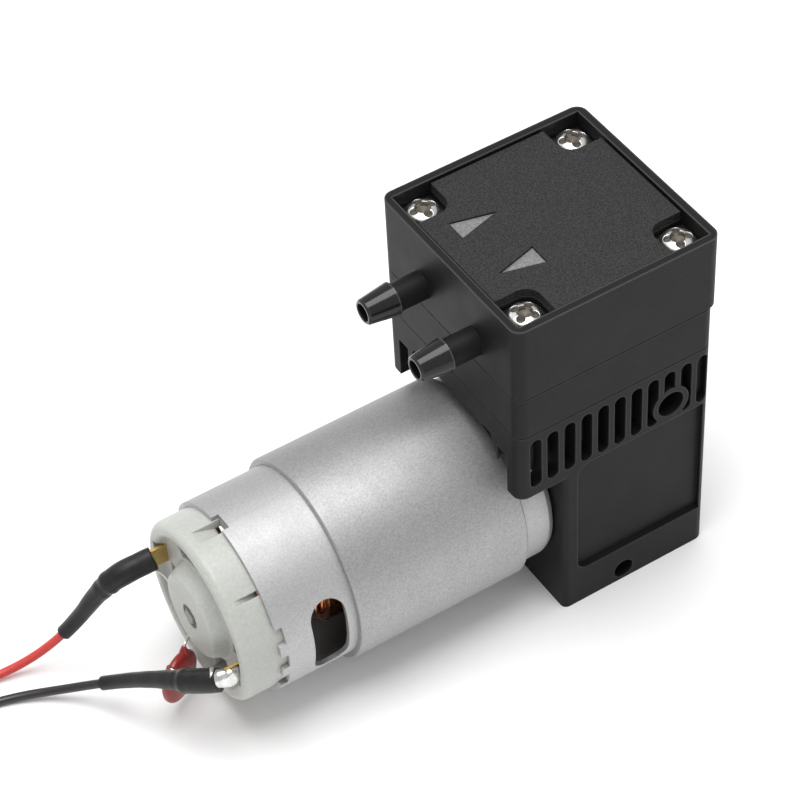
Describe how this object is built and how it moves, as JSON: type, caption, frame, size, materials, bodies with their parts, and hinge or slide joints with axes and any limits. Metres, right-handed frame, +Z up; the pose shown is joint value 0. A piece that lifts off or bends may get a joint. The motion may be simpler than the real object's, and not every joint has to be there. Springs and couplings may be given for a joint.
{
  "type": "diaphragm vacuum pump",
  "caption": "Diaphragm vacuum pump: a square black head with barbed hose nozzles on a slotted crankcase, driven by a round brushed motor with two soldered leads.",
  "frame": {"origin": "on the crankcase's bottom face, below the centre of the pump head", "axes": "+X along the motor shaft from the motor into the crankcase, +Z up through the head, +Y towards the inlet side"},
  "size_m": [0.154, 0.0652, 0.0743],
  "materials": {
    "head_cover": "moulded, fine texture",
    "top_plate": "satin",
    "flow_arrows": "matt",
    "cover_screws": "zinc plated",
    "head_gasket": "matt",
    "valve_plate": "moulded, fine texture",
    "inlet_valve": "matt",
    "outlet_valve": "matt",
    "diaphragm": "matt",
    "clamp_disc": "turned",
    "clamp_screw": "zinc plated",
    "connecting_rod": "moulded",
    "bearing_outer_ring": "ground",
    "bearing_balls": "polished",
    "bearing_inner_ring": "ground",
    "eccentric": "sintered",
    "grub_screw": "black oxide",
    "crankcase": "moulded, fine texture",
    "rear_cover": "moulded, fine texture",
    "motor_screws": "zinc plated",
    "motor_can": "drawn, plated",
    "flux_ring": "rolled, plated",
    "magnets": "sintered ferrite",
    "armature_core": "laminated",
    "armature_windings": "enamelled copper",
    "commutator": "turned copper",
    "motor_shaft": "ground",
    "front_bush": "sintered",
    "rear_bush": "sintered",
    "end_bell": "moulded nylon",
    "brushes": "carbon",
    "brush_arms": "stamped",
    "terminals": "stamped",
    "solder_joint": "solder",
    "capacitor_disc": "dipped",
    "capacitor_legs": "tinned wire",
    "heat_shrink_sleeves": "satin sleeve",
    "red_lead": "PVC",
    "black_lead": "PVC",
    "red_lead_coil": "PVC",
    "black_lead_coil": "PVC",
    "lead_ties": "band",
    "tinned_ends": "tinned strands"
  },
  "bodies": {
    "pump": {"head_cover": "head_cover", "top_plate": "top_plate", "flow_arrows": "flow_arrows", "cover_screws": "cover_screws", "head_gasket": "head_gasket", "valve_plate": "valve_plate", "inlet_valve": "inlet_valve", "outlet_valve": "outlet_valve", "diaphragm": "diaphragm", "crankcase": "crankcase", "rear_cover": "rear_cover", "motor_screws": "motor_screws", "motor_can": "motor_can", "flux_ring": "flux_ring", "magnets": "magnets", "front_bush": "front_bush", "rear_bush": "rear_bush", "end_bell": "end_bell", "brushes": "brushes", "brush_arms": "brush_arms", "terminals": "terminals", "solder_joint": "solder_joint", "capacitor_disc": "capacitor_disc", "capacitor_legs": "capacitor_legs", "heat_shrink_sleeves": "heat_shrink_sleeves", "red_lead": "red_lead", "black_lead": "black_lead", "red_lead_coil": "red_lead_coil", "black_lead_coil": "black_lead_coil", "lead_ties": "lead_ties", "tinned_ends": "tinned_ends"},
    "rotor": {"motor_shaft": "motor_shaft", "armature_core": "armature_core", "armature_windings": "armature_windings", "commutator": "commutator", "eccentric": "eccentric", "grub_screw": "grub_screw", "bearing_inner_ring": "bearing_inner_ring"},
    "rod": {"connecting_rod": "connecting_rod", "bearing_outer_ring": "bearing_outer_ring", "bearing_balls": "bearing_balls", "clamp_disc": "clamp_disc", "clamp_screw": "clamp_screw"}
  },
  "joints": [
    {"name": "crank_spin", "type": "hinge", "parent": "pump", "child": "rotor", "pos_m": [0, 0, 0.02135], "axis": [1, 0, 0], "continuous": true, "deforming": ["diaphragm"]},
    {"name": "rod_pivot", "type": "hinge", "parent": "rotor", "child": "rod", "pos_m": [0, 0, 0.01935], "axis": [1, 0, 0], "continuous": true}
  ],
  "couplings": [
    {"joint": "rod_pivot", "follows": "crank_spin", "ratio": -1}
  ]
}
